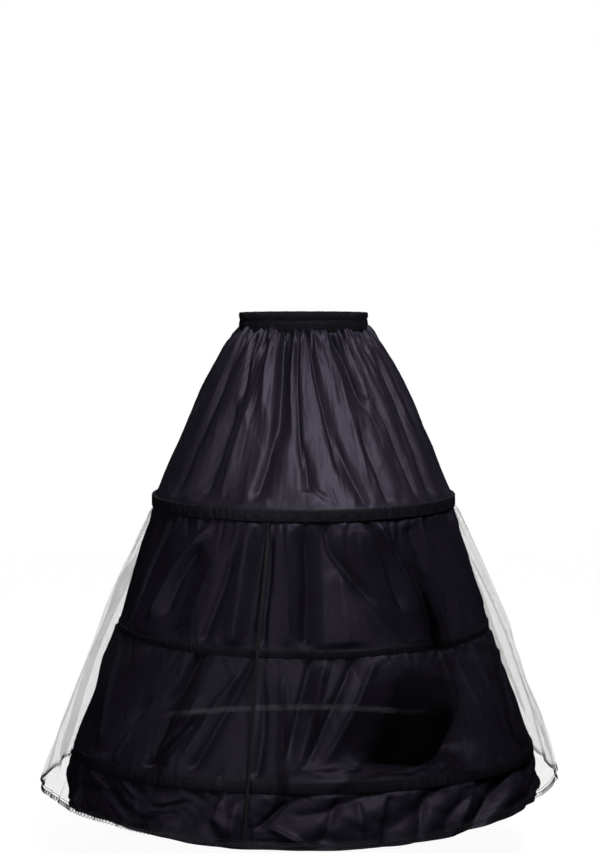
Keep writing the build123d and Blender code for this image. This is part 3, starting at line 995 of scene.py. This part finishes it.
# Painted light: the middle tier and the flounce, under the net, are the same taffeta as the upper tier,
# given a lighter, less glossy copy to lift their tone there.
TAFFETA_PAINTED_LIGHT = taffeta("taffeta_under_net_painted_light", (0.0108, 0.0084, 0.0157), (0.0180, 0.0141, 0.0262), 0.24)
TAFFETA_SHEER = taffeta("taffeta_sheer", (0.0098, 0.0077, 0.0140), (0.0165, 0.0131, 0.0236), 0.24, 0.04)
LINING_TAPE = woven_tape("tape_inside", (0.55, 0.54, 0.57), (0.75, 0.74, 0.77), 0.3)
THREAD = thread("thread_black", (0.010, 0.009, 0.012), (0.030, 0.028, 0.034))
NET = netting()
LACE = thread("lace_cord", (0.006, 0.006, 0.007), (0.020, 0.019, 0.022))
STEEL = metal("steel_white_coated", (0.60, 0.60, 0.58), 0.3)
SLEEVE = metal("sleeve_metal", (0.50, 0.49, 0.46), 0.28)
ELASTIC = knitted_elastic()


# --- The pieces --------------------------------------------------------------------


def sheet_piece(name, cloth, material, flat):
    """Adds a gathered sheet and hides the CAD part it stands for; flat, the sheet's flat size, is not
    used.
    """
    piece = make_sheet(name, cloth.points(), [material])
    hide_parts(name.replace("_cloth", ""))


SECTION_OUTER = 10  # points across the outer face of a tunnel
STEEL_ROOM = 0.0008  # between the steel and where the tunnel begins to close
STITCH_INSET = 0.0022  # from a tunnel's edge to its line of stitches
STITCH_PROUD = 0.0001


def casing_section(hoop, steel_low, steel_high):
    """A tape tunnel's section: flat where it is sewn, and swelling over the steel."""
    half_height = hoop.height / 2
    half_thick = hoop.thickness / 2
    ups = np.linspace(half_height, -half_height, SECTION_OUTER)
    ups[-2] = steel_low
    swell = np.interp(ups, (-half_height, steel_low, steel_high, half_height), (0.2, 1.0, 1.0, 0.15))
    outer = [(-half_thick + half_thick * amount, up) for amount, up in zip(swell, ups)]
    inner = [(-half_thick - half_thick * amount, up) for amount, up in zip(swell, ups)]
    return outer + inner[::-1]


def hoop_casing(name, columns):
    """The tape tunnel that a hoop runs in: dark outside, pale inside."""
    hoop = HOOPS[name]
    steel = node_points(f"{name}_hoop")
    up = (steel[:, 2] - hoop.drop) * np.cos(hoop.tilt) + steel[:, 1] * np.sin(hoop.tilt)

    def ring(angle, out, height):
        return round_hoop(hoop, angle, hoop.radius + out, height)

    section = casing_section(hoop, up.min() - STEEL_ROOM, up.max() + STEEL_ROOM)
    points = band_points(ring, columns, section, ripple=0.0007, seed=len(name), pucker=0.00035)
    rows = np.arange(len(section))
    lining = (rows > SECTION_OUTER + 1) & (rows < len(section) - 3)
    outside = np.repeat(~lining, columns)
    piece = make_sheet(f"{name}_casing", points, [LINING_TAPE, TAPE], True, outside)
    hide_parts(f"{name}_hoop_casing")

    outs, ups = zip(*section[SECTION_OUTER - 1 :: -1])
    edge = hoop.height / 2 - STITCH_INSET
    lines = []
    for height in (edge, -edge):
        out = np.interp(height, ups, outs) + STITCH_PROUD
        lines.append(lambda angle, out=out, height=height: ring(angle, out, height))
    ring_stitches(f"{name}_casing_stitches", lines, 0.0034, 7, 0.00028)


def heading_tape():
    """The flat tape that covers the top tunnel, with the net's edge sewn in under it."""
    low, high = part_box("net_heading_tape")
    outer = high.x
    inner = HOOPS["top"].radius + 0.0003
    middle = (low.z + high.z) / 2
    half_height = (high.z - low.z) / 2
    ups = np.linspace(half_height, -half_height, SECTION_OUTER + 2)
    crown = 0.0011 * np.sin(np.pi * np.linspace(0, 1, len(ups))) ** 0.5
    section = [(outer - 0.0007 + rise, up) for rise, up in zip(crown, ups)]
    section += [(inner, -half_height), (inner, half_height)]

    def ring(angle, out, up):
        # A slight pucker along the lower edge, where the gathered net is caught.
        pull = 0.0006 * np.sin(np.radians(angle) * 67) * (up < 0)
        return oval(angle, out + pull, out + pull, middle + up)

    points = band_points(ring, 1000, section, ripple=0.0006, seed=5, pucker=0.0003)
    piece = make_sheet("heading_tape", points, [TAPE], True)
    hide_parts("net_heading_tape")
    lines = []
    for up in (0.8 * half_height, -0.8 * half_height):
        lines.append(lambda angle, up=up: ring(angle, outer + STITCH_PROUD, up))
    ring_stitches("heading_tape_stitches", lines, 0.0032, 9)


BAND_PLEAT = 0.0047  # from one gather of the waistband to the next
BAND_GROOVE = 0.39  # where the stitched groove lies, as a share of the band's height
BAND_ROWS = 30
BAND_COLUMNS = 1040
BAND_INSET = 0.0010  # how far inside the CAD band's face the gathers start
BAND_BACK = 0.0036  # from the elastic's far side to the band's inner face


def waistband_points():
    """Two puffed rows of fine gathers with a stitched groove between them."""
    angles = np.arange(BAND_COLUMNS) * 360 / BAND_COLUMNS
    around = np.radians(angles)
    random = np.random.default_rng(101)
    warp = np.zeros(BAND_COLUMNS)
    for cycles in (5, 11, 17, 29, 43):
        warp += random.uniform(0.3, 0.9) * np.sin(cycles * around + random.uniform(0, TURN)) / cycles**0.5
    girth = np.pi * (band_high[0] + band_high[1])
    pleats = round(girth / BAND_PLEAT)
    phase = pleats * around / 2 + 0.9 * warp
    shift = 0.8 * np.sin(7 * around + 1) + 0.5 * np.sin(19 * around)
    ridge_high = np.abs(np.sin(phase + shift)) ** 0.75
    ridge_low = np.abs(np.sin(phase)) ** 0.75
    size = 0.75 + 0.35 * np.sin(3 * around + 2) * np.sin(13 * around)
    rows = []
    for share in np.linspace(0, 1, BAND_ROWS):
        if share < BAND_GROOVE:
            place = share / BAND_GROOVE
            puff = np.sin(np.pi * (0.12 + 0.88 * place)) ** 0.6
            ridge = ridge_high
        else:
            place = (share - BAND_GROOVE) / (1 - BAND_GROOVE)
            puff = np.sin(np.pi * 0.9 * place) ** 0.6
            ridge = ridge_low
        out = 0.0010 * puff + (0.0005 + 0.0015 * puff) * ridge * size
        height = band_high[2] - share * BAND_HEIGHT
        height = height - (1 - share) ** 4 * 0.0016 * (1 - ridge_high)
        height = height + 0.0006 * np.sin(23 * around + 4) * (0.3 + share)
        out = out - BAND_INSET
        rows.append(oval(angles, band_high[0] + out, band_high[1] + out, height))
    # The inner face, behind the elastic.
    for share in (0.97, 0.75, 0.5, 0.25, 0.03):
        out = -BAND_THICKNESS - BAND_BACK - 0.0008 * ridge_low
        height = np.full(BAND_COLUMNS, band_high[2] - share * BAND_HEIGHT)
        rows.append(oval(angles, band_high[0] + out, band_high[1] + out, height))
    return np.stack(rows)


def waistband():
    """The band's cloth, and the thread in its groove."""
    piece = make_sheet("waistband_cloth", waistband_points(), [BAND_PAINTED_SHADE], True)
    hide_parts("waistband")

    def groove(angle):
        half_width, half_depth = band_high[:2] + 0.0002
        return oval(angle, half_width, half_depth, band_high[2] - BAND_GROOVE * BAND_HEIGHT)

    ring_stitches("waistband_stitches", [groove], 0.0030, 11)


SEAM_WIDTH = 0.006  # as it shows; its folded strip is cut 0.010 wide
SEAM_CROWN = (0.0003, 0.0010, 0.0013, 0.0010, 0.0003)  # how far the binding stands out
SEAM_STEP = 0.0028  # from one stitch of the binding to the next
SEAM_SWING = 0.0016  # how far the stitches zigzag to each side


def seam_points(net):
    """The binding's points: a narrow strip down the net, which follows its folds."""
    points = net.points()
    low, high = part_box("net_seam_binding")
    centre = np.degrees(np.arctan2(low.x + high.x, -low.y - high.y))
    rows = []
    for row, radius in enumerate(net.radius):
        half = np.degrees(SEAM_WIDTH / 2) / radius
        places = centre + np.linspace(-half, half, len(SEAM_CROWN))
        line = [np.interp(places, net.angles - 360, points[row, :, axis]) for axis in range(3)]
        rows.append(np.stack(line, -1))
    grid = np.stack(rows)
    return grid + unit(grid * (1, 1, 0)) * np.array(SEAM_CROWN)[None, :, None]


def net_seam(net):
    """The binding over the net's join, down to the edge, with its zigzag of stitches."""
    grid = seam_points(net)
    strips, columns = grid.shape[:2]
    faces = grid_faces(strips, columns, closed_columns=False)
    middle, side = grid[:, 2], unit(grid[:, 4] - grid[:, 0])
    down = np.concatenate(([0], np.cumsum(np.linalg.norm(np.diff(middle, axis=0), axis=1))))
    across = np.linspace(0, SEAM_WIDTH, columns)
    flat = np.stack(np.broadcast_arrays(across[None, :], down[:, None]), -1).reshape(-1, 2)
    piece = make_piece("seam_binding", grid.reshape(-1, 3), faces, [BINDING], flat[faces.ravel()])
    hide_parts("net_seam_binding")
    length = float(down[-1])
    starts, ends, outs = [], [], []
    for step in range(int(length / SEAM_STEP) - 1):
        begins, stops = step * SEAM_STEP, (step + 0.8) * SEAM_STEP
        first, second = (
            np.array([np.interp(at, down, middle[:, axis]) for axis in range(3)])
            for at in (begins, stops)
        )
        swing = side[np.searchsorted(down, begins) - 1] * (SEAM_SWING if step % 2 else -SEAM_SWING)
        starts.append(first - swing)
        ends.append(second + swing)
        outs.append(unit(first * (1, 1, 0)))
    stitches = make_stitches("seam_stitches", starts, ends, outs)


LACE_REPEAT = 0.0085  # from one scallop to the next
LACE_YARN = 0.00048


def closed_line(positions, places, points):
    """Points at these positions on a closed line, whose points lie at these places along it."""
    wrapped = np.vstack((points, points[:1]))
    return np.stack([np.interp(positions, places, wrapped[:, axis]) for axis in range(3)], -1)


def net_lace(net):
    """A looped edging along the net: two cords, two rows of loops and a scalloped cord."""
    edge = net.points()[-1]
    count = len(edge)
    finer = np.linspace(0, count, count * 4, endpoint=False)
    ring = closed_line(finer, np.arange(count + 1), edge)
    steps = np.linalg.norm(np.roll(ring, -1, 0) - ring, axis=1)
    along = np.concatenate(([0], np.cumsum(steps)))
    girth = along[-1]
    repeats = round(girth / LACE_REPEAT)
    repeat = girth / repeats

    def place(distance, drop):
        """Points on the edging, this far round and this far below the net's edge."""
        point = closed_line(np.mod(distance, girth), along, ring)
        drop = np.broadcast_to(drop, np.shape(distance))
        outward = unit(point * (1, 1, 0))
        return point + outward * (0.25 * drop)[..., None] - np.array((0, 0, 1)) * drop[..., None]

    around = np.linspace(0, girth, repeats * 4, endpoint=False)
    wave = np.cos(around / repeat * TURN)
    cords = make_tubes("lace_cords", [place(around, -0.0002), place(around, 0.0034)], LACE_YARN, 5)
    edging = make_tubes("lace_edge", [place(around, 0.0098 - 0.0013 * wave)], LACE_YARN * 0.9, 4)
    loops = []
    turn = np.linspace(0, TURN, 11, endpoint=False)
    for step in range(repeats):
        lean = 0.26 * np.cos(turn) - 0.30 * np.sin(turn)
        loops.append(place((step + 0.5 + lean) * repeat, 0.0066 - 0.0034 * np.sin(turn)))
        lean = 0.10 * np.cos(turn) - 0.12 * np.sin(turn)
        loops.append(place((step + 1.0 + lean) * repeat, 0.0060 - 0.0020 * np.sin(turn)))
    scallops = make_tubes("lace_scallops", loops, LACE_YARN * 0.8, 4)
    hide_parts("net_hem_lace")
    return [cords, edging, scallops]


HEM_LINE = 0.88  # where the flounce's hem is stitched, as a share of its length


def hem_stitching(cloth):
    """A line of stitches round the flounce, where its edge is turned up."""
    points = cloth.points()
    row = HEM_LINE * (len(points) - 1)
    low, part = int(row), row - int(row)
    line = points[low] * (1 - part) + points[low + 1] * part

    def ring(angle):
        found = closed_line(np.mod(angle, 360), np.append(cloth.angles, 360), line)
        return found + unit(found * (1, 1, 0)) * 0.0002

    return ring_stitches("flounce_stitches", [ring], 0.0036, 13)


def flat_size(cloth, radius, fullness):
    """A tier's flat size: the girth of its wider edge times its fullness, and its length."""
    return (TURN * radius * fullness, float(np.linalg.norm(cloth.base[-1, 0] - cloth.base[0, 0])))


waistband()

upper = upper_tier()
sheet_piece("upper_tier_cloth", upper, TAFFETA, flat_size(upper, HOOPS["top"].radius, 1.08))
middle = middle_tier()
sheet_piece("middle_tier_cloth", middle, TAFFETA_PAINTED_LIGHT, flat_size(middle, HOOPS["middle"].radius, 1.06))
lower = lower_tier()
sheet_piece("lower_tier_cloth", lower, TAFFETA_SHEER, flat_size(lower, HOOPS["bottom"].radius, 1.07))
flounce = hem_flounce()
flounce_stitches = hem_stitching(flounce)
sheet_piece("hem_flounce_cloth", flounce, TAFFETA_PAINTED_LIGHT,
            (TURN * FLOUNCE_RADIUS * 1.08, FLOUNCE_LENGTH + 0.01))

for hoop_name, columns in (("top", 900), ("middle", 1000), ("bottom", 1100)):
    hoop_casing(hoop_name, columns)
    nodes[f"{hoop_name}_hoop"].material_slots[0].material = STEEL
    nodes[f"{hoop_name}_hoop_connector"].material_slots[0].material = SLEEVE
nodes["waist_elastic"].material_slots[0].material = ELASTIC
heading_tape()

net = net_overskirt()
lace = net_lace(net)
sheet_piece("net_overlay_cloth", net, NET, flat_size(net, net_high[0], 1.06))
net_seam(net)


# --- Studio ------------------------------------------------------------------------

FLOOR_DROP = 0.10  # the object hangs this far above the floor
FLOOR_EDGE = 9.0
FLOOR_FADES = (1.6, 4.5)  # the distances between which the floor melts away


def studio_floor():
    """A plain pale floor that melts into the pale surroundings far from the object."""
    look = Nodes("studio_floor")
    place = look.coordinates()
    speckle = look.noise(place, 60.0, 2.0)
    look.to_shader(colour=look.mix(speckle, (0.12, 0.12, 0.12), (0.13, 0.13, 0.13)),
                   roughness=0.9, specular=0.0, glow=(1, 1, 1, 1), glow_strength=0.95)
    distance = look.add("ShaderNodeVectorMath", operation="LENGTH")
    look.join(place, distance.inputs[0])
    look.see_through(look.ramp(distance.outputs["Value"], *FLOOR_FADES, 1.0, 0.0))
    angles = np.arange(64) * 360 / 64
    points = np.concatenate([oval(angles, reach, reach, 0) for reach in (0, 2.0, FLOOR_EDGE)])
    mesh = bpy.data.meshes.new("floor")
    mesh.from_pydata(points.tolist(), [], grid_faces(3, 64)[:, ::-1].tolist())
    mesh.validate()
    mesh.materials.append(look.material)
    floor = bpy.data.objects.new("floor", mesh)
    floor.location = (0, 0, cad_low[2] - FLOOR_DROP)
    floor.visible_diffuse = False
    floor.visible_glossy = False
    bpy.context.scene.collection.objects.link(floor)
    floor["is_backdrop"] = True


def soft_light(name, place, aim, size, power):
    """A soft rectangle of light, turned to face a point."""
    data = bpy.data.lights.new(name, "AREA")
    data.shape = "RECTANGLE"
    data.size, data.size_y = size
    data.energy = power
    light = bpy.data.objects.new(name, data)
    light.location = place
    across, ahead, rise = np.array(aim) - np.array(place)
    pitch = np.arctan2(rise, np.hypot(across, ahead))
    light.rotation_euler = (np.pi / 2 + pitch, 0, -np.arctan2(across, ahead))
    bpy.context.scene.collection.objects.link(light)
    return light


def studio_air():
    """Even white surroundings as seen, and a dim grey fill from above as light."""
    world = bpy.data.worlds.new("studio")
    bpy.context.scene.world = world
    world.use_nodes = True
    tree = world.node_tree
    tree.nodes.clear()
    seen, fill, place, part, rise, path, choose, output = (
        tree.nodes.new(f"ShaderNode{kind}")
        for kind in ("Background", "Background", "TexCoord", "SeparateXYZ", "MapRange",
                     "LightPath", "MixShader", "OutputWorld")
    )
    seen.inputs["Color"].default_value = (1, 1, 1, 1)
    for name, value in (("From Min", -0.3), ("From Max", 0.9), ("To Min", 0.0), ("To Max", 0.04)):
        rise.inputs[name].default_value = value
    for source, target in (
        (place.outputs["Generated"], part.inputs[0]),
        (part.outputs["Z"], rise.inputs["Value"]),
        (rise.outputs["Result"], fill.inputs["Strength"]),
        (path.outputs["Is Camera Ray"], choose.inputs["Fac"]),
        (fill.outputs[0], choose.inputs[1]),
        (seen.outputs[0], choose.inputs[2]),
        (choose.outputs[0], output.inputs["Surface"]),
    ):
        tree.links.new(source, target)


studio_floor()
studio_air()
# The pale floor's light, which comes up inside the skirt.
inside = soft_light("inside", (0, 0, cad_low[2] - 0.06), (0, 0.001, 0), (0.5, 0.5), 3.5)
inside.visible_camera = False
soft_light("key", (0.85, -1.85, 2.0), (0, 0, -0.25), (0.9, 0.9), 78)
soft_light("fill_left", (-2.0, -2.8, 0.1), (0, 0, -0.7), (0.8, 1.0), 25)
soft_light("back", (0.0, 3.0, 2.4), (0, 0, -0.4), (2.6, 1.6), 45)
bpy.context.scene.view_settings.view_transform = "Standard"

visual_low, visual_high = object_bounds()
sizes = {
    "cad": [[float(value) for value in corner] for corner in (cad_low, cad_high)],
    "visual": [[float(value) for value in corner] for corner in (visual_low, visual_high)],
}
